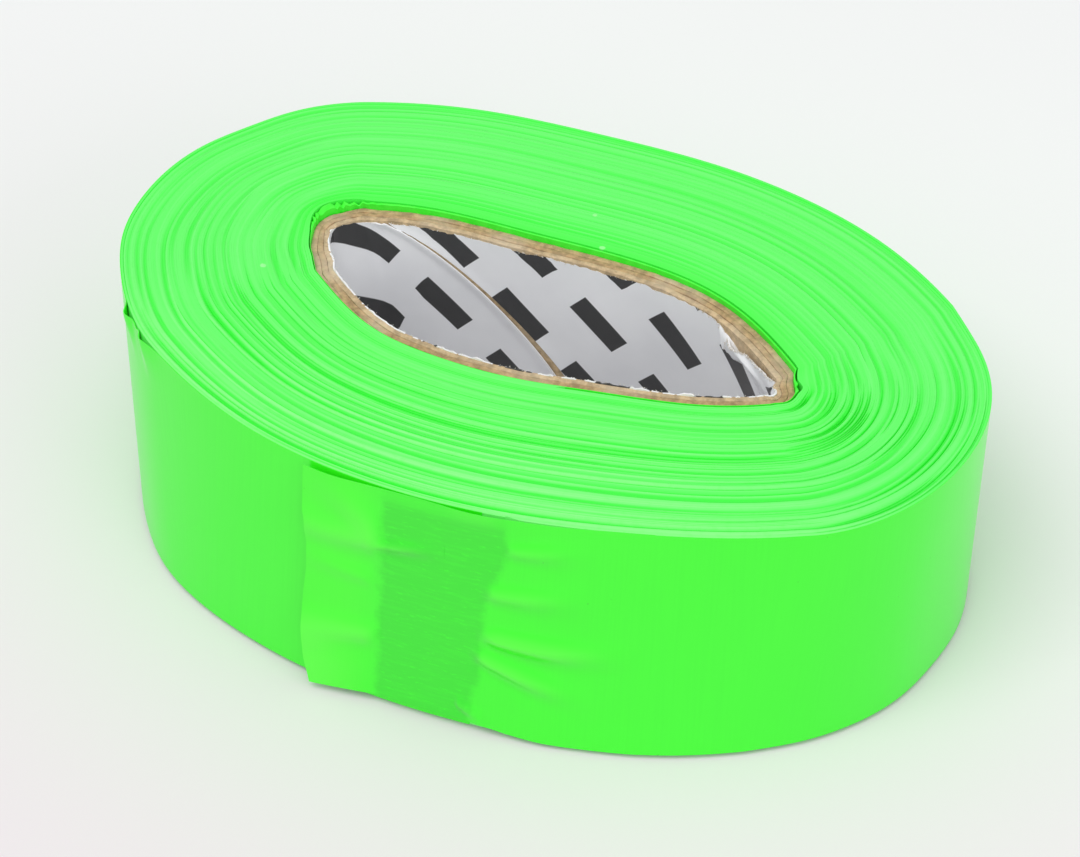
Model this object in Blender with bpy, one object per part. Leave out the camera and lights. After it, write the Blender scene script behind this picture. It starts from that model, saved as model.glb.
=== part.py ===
"""Roll of surveyor's flagging tape: film wound on a squeezed paper core, its end glued down.

Units are metres and +Z is up. The roll lies on one face, with the long axis of its oval along X.
The oval is squeezed harder at the top face than at the foot, so the walls taper and lean a little.
"""

import math

import bmesh
import bpy
from mathutils import Matrix, Vector

MM = 0.001
FULL_TURN = 2 * math.pi

# Bore of the paper core: an oval of four tangent arcs, one end blunter than the other.
# Back and front widths are measured from the oval's long axis
BORE_TOP_LENGTH = 59.1 * MM
BORE_TOP_BACK_WIDTH = 10.45 * MM
BORE_TOP_FRONT_WIDTH = 11.15 * MM
BORE_TOP_BLUNT_RADIUS = 4.8 * MM
BORE_TOP_SHARP_RADIUS = 2.1 * MM
BORE_TOP_TURN = math.radians(-3.0)
BORE_FOOT_LENGTH = 55.2 * MM
BORE_FOOT_WIDTH = 25.7 * MM
BORE_FOOT_BLUNT_RADIUS = 10.3 * MM
BORE_FOOT_SHARP_RADIUS = 6.75 * MM
FOOT_LEAN_X = 1.4 * MM
FOOT_LEAN_Y = -2.9 * MM
FOOT_TWIST = math.radians(1.5)

# Paper strips of the core, from the bore outwards
LINER_THICKNESS = 0.25 * MM
PLY_THICKNESS = 0.45 * MM
PLY_GAP = 0.15 * MM
CORE_RECESS = 0.5 * MM

# Butt seams of the strips, which run on a slant up the wall
SEAM_WIDTH = 0.7 * MM
SEAM_SLANT = math.radians(46)
LINER_SEAM_X = -6.5 * MM
INNER_PLY_SEAM_X = 9.0 * MM
MIDDLE_PLY_SEAM_X = -8.0 * MM
OUTER_PLY_SEAM_X = 2.0 * MM

# Film: each drawn turn stands for a bundle of about seven real wraps
TAPE_WIDTH = 30.2 * MM
TURNS = 24
TURN_PITCH = 0.92 * MM
RIBBON_THICKNESS = 0.42 * MM
LOOP_POINTS = 24

# Glued lap and free tab at the outer end of the film, measured along the film
LAP_LENGTH = 14.2 * MM
TAB_LENGTH = 9.6 * MM
TAB_LIFT = 1.3 * MM
END_GAP = 0.3 * MM
STRETCH_POINTS = 7

# Adhesive patches, which lie in the gap between two turns
ADHESIVE_THICKNESS = 0.18 * MM
ADHESIVE_MARGIN = 1.4 * MM

# Direction of the outward normal where the wound film turns into the glued lap
TAPE_END_NORMAL = math.radians(-83.2)

# Worked out from the sizes above
TURN_GAP = TURN_PITCH - RIBBON_THICKNESS
PLY_STEP = PLY_THICKNESS + PLY_GAP
INNER_PLY_OFFSET = LINER_THICKNESS + PLY_GAP
MIDDLE_PLY_OFFSET = INNER_PLY_OFFSET + PLY_STEP
OUTER_PLY_OFFSET = MIDDLE_PLY_OFFSET + PLY_STEP
CORE_WALL = OUTER_PLY_OFFSET + PLY_THICKNESS
WINDING_OFFSET = CORE_WALL + TURN_GAP
TAPE_END_OFFSET = WINDING_OFFSET + TURNS * TURN_PITCH

# Colours as they show in daylight, red, green and blue from 0 to 255
FILM_GREEN = (83, 251, 67)
KRAFT_BROWN = (186, 152, 110)
LINER_WHITE = (224, 225, 226)
ADHESIVE_GREEN = (72, 226, 63)


# Oval of four tangent arcs


class Oval:
    """Closed outline of four tangent arcs, read by the direction of its outward normal."""

    def __init__(self, length, widths, radii, turn=0.0):
        back_width, front_width = widths
        most = 0.9 * min(back_width, front_width)
        blunt, sharp = (min(radius, most) for radius in radii)
        blunt_x = -length / 2 + blunt
        sharp_x = length / 2 - sharp
        self.turn = turn
        self.blunt_end = (blunt_x, 0.0, blunt)
        self.sharp_end = (sharp_x, 0.0, sharp)
        self.back = self.side_arc(back_width, -1)
        self.front = self.side_arc(front_width, 1)

    def side_arc(self, width, sign):
        """Side arc that touches both end arcs: its circle, and the normals where it meets them."""
        blunt_x, _, blunt = self.blunt_end
        sharp_x, _, sharp = self.sharp_end
        low = width
        high = 100 * (sharp_x - blunt_x)
        for _ in range(80):
            radius = (low + high) / 2
            to_blunt = math.sqrt((width - blunt) * (2 * radius - blunt - width))
            to_sharp = math.sqrt((width - sharp) * (2 * radius - sharp - width))
            if to_blunt + to_sharp < sharp_x - blunt_x:
                low = radius
            else:
                high = radius
        x = blunt_x + to_blunt
        depth = radius - width
        sharp_normal = math.atan2(depth, sharp_x - x)
        blunt_normal = math.atan2(depth, blunt_x - x)
        return (x, sign * depth, radius), sharp_normal, blunt_normal

    def arc_at(self, normal):
        """Centre and radius of the arc whose outward normal has this direction."""
        turned = math.remainder(normal - self.turn, FULL_TURN)
        arc, sharp_normal, blunt_normal = self.back if turned > 0 else self.front
        if abs(turned) < sharp_normal:
            return self.sharp_end
        if abs(turned) > blunt_normal:
            return self.blunt_end
        return arc

    def point(self, normal):
        x, y, radius = self.arc_at(normal)
        centre = Vector((x, y))
        centre.rotate(Matrix.Rotation(self.turn, 2))
        return centre + radius * outward(normal)


def outward(normal):
    return Vector((math.cos(normal), math.sin(normal)))


TOP_OVAL = Oval(
    BORE_TOP_LENGTH,
    (BORE_TOP_BACK_WIDTH, BORE_TOP_FRONT_WIDTH),
    (BORE_TOP_BLUNT_RADIUS, BORE_TOP_SHARP_RADIUS),
    BORE_TOP_TURN,
)
FOOT_OVAL = Oval(
    BORE_FOOT_LENGTH,
    (BORE_FOOT_WIDTH / 2, BORE_FOOT_WIDTH / 2),
    (BORE_FOOT_BLUNT_RADIUS, BORE_FOOT_SHARP_RADIUS),
)


def ruled_point(foot_normal, top_normal, offset, height):
    """Point at a height on the straight line between the foot's outline and the top's outline."""
    lean = Vector((FOOT_LEAN_X, FOOT_LEAN_Y))
    foot = FOOT_OVAL.point(foot_normal) + lean + offset * outward(foot_normal)
    top = TOP_OVAL.point(top_normal) + offset * outward(top_normal)
    return foot.lerp(top, height / TAPE_WIDTH).to_3d() + Vector((0, 0, height))


def wall_point(normal, offset, height):
    """Point at an offset outside the bore's wall, at a height above the foot."""
    return ruled_point(normal + FOOT_TWIST, normal, offset, height)


def loop_normals(count):
    """Normals of one clockwise loop from the tape's end, closer together where the wall turns."""
    fine_steps = 3600
    middle_offset = (WINDING_OFFSET + TAPE_END_OFFSET) / 2
    normals = [TAPE_END_NORMAL - FULL_TURN * step / fine_steps for step in range(fine_steps + 1)]
    travelled = [0.0]
    for normal in normals[:-1]:
        travelled.append(travelled[-1] + math.sqrt(TOP_OVAL.arc_at(normal)[2] + middle_offset))
    chosen = []
    for step, normal in enumerate(normals[:-1]):
        if travelled[step] >= travelled[-1] * len(chosen) / count:
            chosen.append(normal)
    return chosen


LOOP_NORMALS = loop_normals(LOOP_POINTS)


def normal_along(length, oval):
    """Normal at a length of film past the winding's end, which lies on a side arc of this oval."""
    end_normal = TAPE_END_NORMAL + (FOOT_TWIST if oval is FOOT_OVAL else 0.0)
    return end_normal - length / (oval.arc_at(end_normal)[2] + TAPE_END_OFFSET)


def film_point(length, offset, height):
    """Point on the outer end of the film, at a length past the winding's end."""
    return ruled_point(normal_along(length, FOOT_OVAL), normal_along(length, TOP_OVAL), offset, height)


# Scene, materials and solids


def clear_scene():
    for old in list(bpy.data.objects):
        bpy.data.objects.remove(old, do_unlink=True)


def make_collection(name, hidden=False):
    collection = bpy.data.collections.new(name)
    collection.hide_render = hidden
    bpy.context.scene.collection.children.link(collection)
    return collection


def linear(colour):
    """Blender's scene-linear values of an on-screen colour."""
    channels = [value / 255 for value in colour]
    return [c / 12.92 if c < 0.04045 else ((c + 0.055) / 1.055) ** 2.4 for c in channels]


def make_material(name, colour, roughness):
    material = bpy.data.materials.new(name)
    material.use_nodes = True
    shader = material.node_tree.nodes["Principled BSDF"]
    shader.inputs["Base Color"].default_value = (*linear(colour), 1)
    shader.inputs["Roughness"].default_value = roughness
    shader.inputs["Metallic"].default_value = 0.0
    return material


def section(place, point_at, inner, outer, foot, top):
    """Four corners of a wall cut across at one place along it."""
    return [
        point_at(place, inner, foot),
        point_at(place, outer, foot),
        point_at(place, outer, top),
        point_at(place, inner, top),
    ]


def loft(name, sections, closed, collection, material, origin=Vector((0, 0, 0))):
    """Solid through four-cornered sections, as a ring or with its two ends capped."""
    mesh = bpy.data.meshes.new(name)
    shape = bmesh.new()
    rings = [[shape.verts.new(corner - origin) for corner in corners] for corners in sections]
    following = rings[1:] + rings[:1] if closed else rings[1:]
    for ring, after in zip(rings, following):
        shape.faces.new((ring[0], ring[1], after[1], after[0]))
        shape.faces.new((ring[2], ring[3], after[3], after[2]))
        # Both walls are split on the same diagonal, so that neighbouring walls stay parallel
        for foot, top in ((0, 3), (1, 2)):
            shape.faces.new((ring[foot], after[foot], after[top]))
            shape.faces.new((ring[foot], after[top], ring[top]))
    if not closed:
        shape.faces.new(reversed(rings[0]))
        shape.faces.new(rings[-1])
    bmesh.ops.recalc_face_normals(shape, faces=shape.faces)
    shape.to_mesh(mesh)
    shape.free()
    mesh.materials.append(material)
    solid = bpy.data.objects.new(name, mesh)
    solid.location = origin
    collection.objects.link(solid)
    return solid


# Paper core


def make_ply(name, offset, thickness, seam, collections, material):
    """One paper strip of the core, closed on itself but for its slanting butt seam."""
    parts, cutters = collections
    seam_x, seam_side = seam
    foot = CORE_RECESS
    top = TAPE_WIDTH - CORE_RECESS
    sections = [section(n, wall_point, offset, offset + thickness, foot, top) for n in LOOP_NORMALS]
    ply = loft(name, sections, True, parts, material)
    # The cutter reaches through one long wall only, from the middle of the bore outwards
    half_width = max(BORE_TOP_BACK_WIDTH, BORE_TOP_FRONT_WIDTH, BORE_FOOT_WIDTH / 2)
    reach = half_width + abs(FOOT_LEAN_Y) + CORE_WALL + TURN_PITCH
    slant_length = 2 * TAPE_WIDTH / math.cos(SEAM_SLANT)
    bpy.ops.mesh.primitive_cube_add(size=1)
    cutter = bpy.context.object
    cutter.name = name + "_seam_cutter"
    for vert in cutter.data.vertices:
        vert.co.x *= SEAM_WIDTH
        vert.co.y *= reach
        vert.co.z *= slant_length
    cutter.location = (seam_x, seam_side * reach / 2, TAPE_WIDTH / 2)
    cutter.rotation_euler = (0, -SEAM_SLANT, 0)
    cutter.hide_render = True
    cutter.display_type = "WIRE"
    for holder in list(cutter.users_collection):
        holder.objects.unlink(cutter)
    cutters.objects.link(cutter)
    cut = ply.modifiers.new("butt_seam", "BOOLEAN")
    cut.operation = "DIFFERENCE"
    cut.object = cutter
    return ply


def make_core(collections, kraft, liner_paper):
    back = 1
    front = -1
    layers = (
        ("core_liner", 0.0, LINER_THICKNESS, LINER_SEAM_X, back, liner_paper),
        ("core_inner_ply", INNER_PLY_OFFSET, PLY_THICKNESS, INNER_PLY_SEAM_X, back, kraft),
        ("core_middle_ply", MIDDLE_PLY_OFFSET, PLY_THICKNESS, MIDDLE_PLY_SEAM_X, front, kraft),
        ("core_outer_ply", OUTER_PLY_OFFSET, PLY_THICKNESS, OUTER_PLY_SEAM_X, back, kraft),
    )
    for name, offset, thickness, seam_x, seam_side, paper in layers:
        make_ply(name, offset, thickness, (seam_x, seam_side), collections, paper)


# Wound film


def winding_offset(normal):
    """Offset of the ribbon's inner face, for a normal that keeps counting through the turns."""
    turned = TAPE_END_NORMAL - normal
    return WINDING_OFFSET + TURN_PITCH * turned / FULL_TURN


def make_winding(parts, film):
    normals = [n - FULL_TURN * turn for turn in range(TURNS) for n in LOOP_NORMALS]
    normals.append(TAPE_END_NORMAL - FULL_TURN * TURNS)
    sections = []
    for normal in normals:
        inner = winding_offset(normal)
        sections.append(section(normal, wall_point, inner, inner + RIBBON_THICKNESS, 0.0, TAPE_WIDTH))
    report_least_gap(sections)
    return loft("tape_winding", sections, False, parts, film)


def report_least_gap(sections):
    """Prints the least gap between the outer face of a turn and the inner face of the next one."""
    gaps = []
    for inside, outside in zip(sections, sections[len(LOOP_NORMALS):]):
        gaps.append((outside[0] - inside[1]).length)
        gaps.append((outside[3] - inside[2]).length)
    print(f"least gap between turns of the winding: {min(gaps) / MM:.3f} mm")


# Outer end of the film


def film_offset(length, turn=TURNS):
    """Offset of the ribbon's inner face at a length past the end of a turn."""
    return winding_offset(normal_along(length, TOP_OVAL) - FULL_TURN * turn)


def stretch(start, end):
    """Evenly spaced lengths between two lengths past the winding's end."""
    return [start + (end - start) * step / (STRETCH_POINTS - 1) for step in range(STRETCH_POINTS)]


def film_sections(start, end, lift_at):
    sections = []
    for length in stretch(start, end):
        inner = film_offset(length) + lift_at(length)
        sections.append(section(length, film_point, inner, inner + RIBBON_THICKNESS, 0.0, TAPE_WIDTH))
    return sections


def hinge_line(length):
    """Foot point and direction of the film's outer face at a length past the winding's end."""
    outer = film_offset(length) + RIBBON_THICKNESS
    foot = film_point(length, outer, 0.0)
    top = film_point(length, outer, TAPE_WIDTH)
    return foot, (top - foot).normalized()


def make_tape_end(parts, film):
    lap_end = END_GAP + LAP_LENGTH
    tab_start = lap_end + END_GAP
    tab_end = tab_start + TAB_LENGTH

    def lying_flat(length):
        return 0.0

    def lifting(length):
        return TAB_LIFT * ((length - tab_start) / TAB_LENGTH) ** 1.5

    lap_foot, lap_axis = hinge_line(END_GAP)
    tab_foot, tab_axis = hinge_line(tab_start)
    lap = loft("glued_lap", film_sections(END_GAP, lap_end, lying_flat), False, parts, film, lap_foot)
    tab = loft("pull_tab", film_sections(tab_start, tab_end, lifting), False, parts, film, tab_foot)
    tab.parent = lap
    tab.location = tab_foot - lap_foot
    return lap, tab, (lap_axis, tab_axis)


# Adhesive


def make_patch(name, places, point_at, offset_at, parts, adhesive):
    """Thin patch through these places along the wall, set in from the film's edges."""
    foot = ADHESIVE_MARGIN
    top = TAPE_WIDTH - ADHESIVE_MARGIN
    sections = []
    for place in places:
        inner = offset_at(place)
        sections.append(section(place, point_at, inner, inner + ADHESIVE_THICKNESS, foot, top))
    return loft(name, sections, False, parts, adhesive)


def make_adhesive(parts, adhesive):
    clearance = (TURN_GAP - ADHESIVE_THICKNESS) / 2

    def on_core(normal):
        return CORE_WALL + clearance

    def on_last_turn(length):
        return film_offset(length, TURNS - 1) + RIBBON_THICKNESS + clearance

    # The first patch lies under one flat of the first turn
    make_patch("start_adhesive", LOOP_NORMALS[:2], wall_point, on_core, parts, adhesive)
    lengths = stretch(END_GAP + ADHESIVE_MARGIN / 2, END_GAP + LAP_LENGTH - ADHESIVE_MARGIN / 2)
    make_patch("end_adhesive", lengths, film_point, on_last_turn, parts, adhesive)


# Assembly


def centre_on_origin(root, parts):
    """Moves the root so that the middle of the roll's foot is at the origin."""
    bpy.context.view_layer.update()
    corners = [o.matrix_world @ Vector(c) for o in parts.objects if o.type == "MESH" for c in o.bound_box]
    for axis in (0, 1):
        values = [corner[axis] for corner in corners]
        root.location[axis] = -(min(values) + max(values)) / 2
    bpy.context.view_layer.update()


def report_hinge(piece, axis):
    place = piece.matrix_world.translation
    print(f"{piece.name} hinge at", [round(v, 6) for v in place], "along", [round(v, 6) for v in axis])


def main():
    clear_scene()
    parts = make_collection("flagging_tape_roll")
    cutters = make_collection("seam_cutters", hidden=True)
    film = make_material("film", FILM_GREEN, 0.35)
    kraft = make_material("kraft_paper", KRAFT_BROWN, 0.85)
    liner_paper = make_material("liner_paper", LINER_WHITE, 0.4)
    adhesive = make_material("adhesive", ADHESIVE_GREEN, 0.5)

    make_core((parts, cutters), kraft, liner_paper)
    make_winding(parts, film)
    lap, tab, (lap_axis, tab_axis) = make_tape_end(parts, film)
    make_adhesive(parts, adhesive)

    root = bpy.data.objects.new("roll", None)
    parts.objects.link(root)
    for piece in [*parts.objects, *cutters.objects]:
        if piece.parent is None and piece != root:
            piece.parent = root
    centre_on_origin(root, parts)
    report_hinge(lap, lap_axis)
    report_hinge(tab, tab_axis)


main()
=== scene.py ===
"""Roll of surveyor's flagging tape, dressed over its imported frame.

All lengths are in metres. The roll lies on its foot, the long axis of its oval runs along X, and the
film's glued end is on the -Y side. Pieces are laid out by the same ovals as the part's solids.
"""

import math

import bpy
import numpy as np
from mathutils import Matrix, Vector


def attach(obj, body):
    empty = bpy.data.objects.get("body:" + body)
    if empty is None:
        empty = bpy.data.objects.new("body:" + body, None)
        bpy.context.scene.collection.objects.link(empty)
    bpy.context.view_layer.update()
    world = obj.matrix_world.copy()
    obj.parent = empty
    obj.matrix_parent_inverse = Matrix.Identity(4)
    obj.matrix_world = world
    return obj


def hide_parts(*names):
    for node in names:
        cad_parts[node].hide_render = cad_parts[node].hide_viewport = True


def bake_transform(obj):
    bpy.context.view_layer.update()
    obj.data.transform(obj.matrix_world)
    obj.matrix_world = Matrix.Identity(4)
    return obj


MM = 0.001
FULL_TURN = 2 * math.pi

# Oval of the core's bore at the top face and at the foot: its length, its widths behind and in front
# of the long axis, and the radii of its blunt and its sharp end
TOP_LENGTH = 59.1 * MM
TOP_WIDTHS = (10.45 * MM, 11.15 * MM)
TOP_END_RADII = (4.8 * MM, 2.1 * MM)
TOP_TURN = math.radians(-3.0)
FOOT_LENGTH = 55.2 * MM
FOOT_WIDTHS = (12.85 * MM, 12.85 * MM)
FOOT_END_RADII = (10.3 * MM, 6.75 * MM)
FOOT_LEAN = np.array([1.4 * MM, -2.9 * MM])
FOOT_TWIST = math.radians(1.5)
ROLL_SHIFT = np.array([-0.2148 * MM, 3.0176 * MM])

# Film and its winding, with offsets outside the bore and heights above the table
TAPE_WIDTH = 30.2 * MM
FILM_THICKNESS = 0.11 * MM
FIRST_TURN_OFFSET = 2.26 * MM
LAST_TURN_OFFSET = 23.6 * MM
TURNS = 82
TURN_POINTS = 190
TURN_GAP = 0.006 * MM
SLACK_FADE = 0.15
CROWN_RISE = 0.012 * MM
RAISED_TURNS = 18.0
FOOT_RISE = 0.58 * MM
OUTER_WRAP_OFFSET = 23.61 * MM
WRAP_RISE = 0.26 * MM
WRAP_FOOT = 0.6 * MM
WRAP_TOP = TAPE_WIDTH - 0.04 * MM
WRAP_LENGTH = 285 * MM

# Direction of the winding's end, the offset at which the film past it is measured, and lengths past it
TAPE_END_NORMAL = math.radians(-83.2)
END_SPREAD = 24.63 * MM
LAP_APPROACH = -17.0 * MM
WRAP_START = -15.5 * MM
WRAP_END = 3.0 * MM
LAP_MIDDLE = 7.0 * MM
TAB_START = 14.8 * MM
TAB_END = 24.4 * MM

# How far the film's outer end stands out from the wraps, and the height at which its bends are read
LAP_CLIMB = 0.27 * MM
LAP_OVER_WRAP = 0.004 * MM
TAB_LIFT = 1.25 * MM
BEND_HEIGHT = 15 * MM

# Paper core, and lengths along its bore's top edge, clockwise from the liner's seam
LINER_THICKNESS = 0.2 * MM
LINER_FACE = -0.22 * MM
CORE_FOOT = 0.5 * MM
CORE_TOP = 29.35 * MM
CORE_OUTSIDE = 2.13 * MM
LINER_TOP = CORE_TOP + 0.1 * MM
PLY_POINTS = 260
SEAM_TOP_X = -24.5 * MM
SEAM_RUN = 1.64
SEAM_BEND = 25.0
PRINT_SLANT = 1.02
BAR_STEP = 12.5 * MM
ROW_STEP = 8.4 * MM
TEAR_PLACE = 45.0 * MM
LOOSE_START = 43.2 * MM
LOOSE_END = 57.2 * MM

# Patch of glue under the film's last end, and dab under its first
PATCH_OFFSET = OUTER_WRAP_OFFSET + FILM_THICKNESS + 0.04 * MM
PATCH_THICKNESS = 0.09 * MM
DAB_THICKNESS = 0.1 * MM

# Meshes
FINE_STEPS = 7200
RING_EDGE_RISE = 0.05 * MM
SHARP_EDGE = math.radians(50)
MERGE_DISTANCE = 0.001 * MM

# Table, camera and light
TABLE_HALF = 3.0
TABLE_DROP = 0.02 * MM
CAMERA_PLACE = (144.58 * MM, -326.28 * MM, 340.5 * MM)
CAMERA_AIM = (7.2 * MM, -19.04 * MM, 30.16 * MM)
PHOTO_WIDTH = 1080
FOCAL_PIXELS = 4021
SENSOR_WIDTH = 36.0
LIGHT_AIM = (0, 0, 15 * MM)
SKY_STRENGTH = 0.7
OVERHEAD_POWER = 4.1
RIGHT_POWER = 1.75


# Ovals


class Oval:
    """Closed outline of four tangent arcs, read by the direction of its outward normal."""

    def __init__(self, length, widths, radii, turn=0.0):
        blunt, sharp = radii
        self.blunt_end = (-length / 2 + blunt, blunt)
        self.sharp_end = (length / 2 - sharp, sharp)
        self.turn = turn
        self.back = self.side_arc(widths[0])
        self.front = self.side_arc(widths[1])

    def side_arc(self, width):
        """Side arc that touches both ends: its circle, and the normals where it meets them."""
        blunt_x, blunt = self.blunt_end
        sharp_x, sharp = self.sharp_end
        low = width
        high = 100 * (sharp_x - blunt_x)
        for _ in range(80):
            radius = (low + high) / 2
            to_blunt = math.sqrt((width - blunt) * (2 * radius - blunt - width))
            to_sharp = math.sqrt((width - sharp) * (2 * radius - sharp - width))
            if to_blunt + to_sharp < sharp_x - blunt_x:
                low = radius
            else:
                high = radius
        x = blunt_x + to_blunt
        depth = radius - width
        return x, depth, radius, math.atan2(depth, sharp_x - x), math.atan2(depth, blunt_x - x)

    def arcs(self, normals):
        """Centres and radii of the arcs whose outward normals have these directions."""
        turned = np.remainder(normals - self.turn + math.pi, FULL_TURN) - math.pi
        on_back = turned > 0
        sides = [np.where(on_back, back, front) for back, front in zip(self.back, self.front)]
        x, depth, radius, sharp_normal, blunt_normal = sides
        y = np.where(on_back, -depth, depth)
        on_sharp = np.abs(turned) < sharp_normal
        on_blunt = np.abs(turned) > blunt_normal
        for there, (end_x, end_radius) in ((on_sharp, self.sharp_end), (on_blunt, self.blunt_end)):
            x = np.where(there, end_x, x)
            y = np.where(there, 0.0, y)
            radius = np.where(there, end_radius, radius)
        return x, y, radius

    def points(self, normals):
        x, y, radius = self.arcs(normals)
        along = math.cos(self.turn)
        aside = math.sin(self.turn)
        centres = np.stack([x * along - y * aside, x * aside + y * along], -1)
        return centres + radius[..., None] * outward(normals)


def outward(normals):
    return np.stack([np.cos(normals), np.sin(normals)], -1)


TOP_OVAL = Oval(TOP_LENGTH, TOP_WIDTHS, TOP_END_RADII, TOP_TURN)
FOOT_OVAL = Oval(FOOT_LENGTH, FOOT_WIDTHS, FOOT_END_RADII)
TOP_FRONT_RADIUS = TOP_OVAL.front[2] + END_SPREAD
FOOT_FRONT_RADIUS = FOOT_OVAL.front[2] + END_SPREAD


def bell(values, width):
    return np.exp(-((values / width) ** 2))


def turn_between(normals, degrees):
    """Signed angle from a direction, in degrees."""
    return np.remainder(np.degrees(normals) - degrees + 180, 360) - 180


def humps(normals, *shapes):
    """Sum of soft humps round the roll, each a height, then its direction and width in degrees."""
    return sum(height * bell(turn_between(normals, middle), width) for height, middle, width in shapes)


def dents(normals, offsets):
    """How far the wall departs from its oval, most of it near the core and some all the way out."""
    outer = offsets / LAST_TURN_OFFSET
    all_through = humps(normals, (-0.95, 95, 11), (0.75, 66, 13))
    at_ends = humps(normals, (1.0, 20, 22), (1.3, 190, 32))
    blunt_corner = humps(normals, (1.85, 118, 20), (1.85, 152, 22))
    front_corner = humps(normals, (1.1, -110, 9), (-0.7, -145, 22))
    front = humps(normals, (-1.9, -79, 14), (-0.6, -48, 16))
    sharp_end = humps(normals, (0.9, 71, 11), (-0.65, 27, 26))
    at_core = blunt_corner + front_corner + front + sharp_end
    return (all_through + 0.45 * outer * at_ends + (1 - outer) * at_core) * MM


def top_swell(normals):
    """How far the outermost turns bulge at the top: out on the left of the front, in on its right."""
    past_left = turn_between(normals, -111)
    left = 1.6 * bell(past_left, np.where(past_left < 0, 30, 16))
    right = humps(normals, (-0.95, -73, 14))
    back = humps(normals, (-0.5, 147, 12), (-0.4, 89, 10))
    ends = humps(normals, (0.55, 62, 12), (0.25, -162, 12))
    return (left + right + back + ends) * MM


def foot_swell(normals):
    """How far the outermost turns bulge at the foot."""
    front = humps(normals, (1.1, -69, 11), (0.5, -48, 14))
    left = humps(normals, (0.6, -126, 14), (0.45, -104, 12))
    right = humps(normals, (0.6, -26, 15), (0.3, 2, 12))
    return (front + left + right) * MM


def roll_points(foot_normals, top_normals, offsets, heights):
    """Points on the straight lines between the foot's outline and the top's outline."""
    foot_normals, top_normals, offsets, heights = np.broadcast_arrays(
        foot_normals, top_normals, offsets, heights
    )
    outer = offsets / LAST_TURN_OFFSET
    foot_offsets = offsets + dents(foot_normals, offsets) + outer * foot_swell(foot_normals)
    top_offsets = offsets + dents(top_normals, offsets) + outer * top_swell(top_normals)
    foot = FOOT_OVAL.points(foot_normals) + FOOT_LEAN + foot_offsets[..., None] * outward(foot_normals)
    top = TOP_OVAL.points(top_normals) + top_offsets[..., None] * outward(top_normals)
    share = (heights / TAPE_WIDTH)[..., None]
    flat = foot + (top - foot) * share + ROLL_SHIFT
    return np.concatenate([flat, heights[..., None]], -1)


def wall_points(normals, offsets, heights):
    return roll_points(normals + FOOT_TWIST, normals, offsets, heights)


def end_normals(lengths):
    """Normals at the foot and at the top, at lengths past the winding's end."""
    foot_normals = TAPE_END_NORMAL + FOOT_TWIST - lengths / FOOT_FRONT_RADIUS
    top_normals = TAPE_END_NORMAL - lengths / TOP_FRONT_RADIUS
    return foot_normals, top_normals


def film_points(lengths, offsets, heights):
    """Points on the film's outer end, at lengths past the winding's end."""
    return roll_points(*end_normals(lengths), offsets, heights)


def travelled_along(points):
    """Lengths travelled from the first point of a line to each of its points."""
    return np.concatenate([[0.0], np.cumsum(np.linalg.norm(np.diff(points, axis=0), axis=1))])


def even_normals(count, offset):
    """Normals of one closed loop, with more of them where the wall turns tighter."""
    fine = np.linspace(-math.pi, math.pi, FINE_STEPS + 1)
    radius = TOP_OVAL.arcs(fine[:-1])[2]
    travelled = np.concatenate([[0.0], np.cumsum(np.sqrt(radius + offset))])
    return np.interp(np.linspace(0, travelled[-1], count + 1)[:-1], travelled, fine)


def bore_normals(lengths):
    """Normals at lengths along the bore's top edge, and the length of the whole edge."""
    fine = np.linspace(math.pi, -math.pi, 2 * FINE_STEPS + 1)
    edge = TOP_OVAL.points(fine)
    travelled = travelled_along(edge)
    margin = 0.3
    on_back = (fine > margin) & (fine < math.pi - margin)
    seam = np.interp(SEAM_TOP_X, edge[on_back, 0], travelled[on_back])
    wanted = np.remainder(seam + lengths, travelled[-1])
    return np.interp(wanted, travelled, fine), travelled[-1]


def core_slack(normals):
    """How far the first turns stand off the core: along its back, and where the film is crumpled."""
    along_back = 0.2 * np.maximum(np.sin(normals), 0)
    return (along_back + humps(normals, (1.2, 143, 22), (0.55, 14, 11))) * MM


def unit_grid(columns, rows):
    """Shares from 0 to 1 along a grid's columns, and up its rows."""
    return np.meshgrid(np.linspace(0, 1, columns), np.linspace(0, 1, rows), indexing="ij")


# Smooth seeded variation


def smooth(share):
    return share * share * (3 - 2 * share)


def ease(values):
    return smooth(np.clip(values, 0, 1))


def wander(values, seed):
    """Smooth variation from -1 to 1 along a line, one new random value for every unit."""
    count = 512
    rolled = np.random.default_rng(seed).uniform(-1, 1, count)
    cell = np.floor(values).astype(int)
    share = smooth(values - cell)
    return rolled[cell % count] * (1 - share) + rolled[(cell + 1) % count] * share


def wander_over(across, along, seed):
    """Smooth variation from -1 to 1 over a surface."""
    count = 128
    rolled = np.random.default_rng(seed).uniform(-1, 1, (count, count))
    column = np.floor(across).astype(int)
    row = np.floor(along).astype(int)
    right = smooth(across - column)
    up = smooth(along - row)

    def on_row(number):
        here = rolled[column % count, number % count]
        beside = rolled[(column + 1) % count, number % count]
        return here * (1 - right) + beside * right

    return on_row(row) * (1 - up) + on_row(row + 1) * up


# Node trees


class Field:
    """Output of a node, which knows its tree and can be added, subtracted, multiplied and divided."""

    def __init__(self, tree, socket):
        self.tree = tree
        self.socket = socket

    def __add__(self, other):
        return sums(self.tree, "ADD", self, other)

    def __sub__(self, other):
        return sums(self.tree, "SUBTRACT", self, other)

    def __rsub__(self, other):
        return sums(self.tree, "SUBTRACT", other, self)

    def __mul__(self, other):
        return sums(self.tree, "MULTIPLY", self, other)

    def __truediv__(self, other):
        return sums(self.tree, "DIVIDE", self, other)


def feed(tree, socket, value):
    if isinstance(value, Field):
        tree.links.new(value.socket, socket)
    else:
        socket.default_value = value


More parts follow.
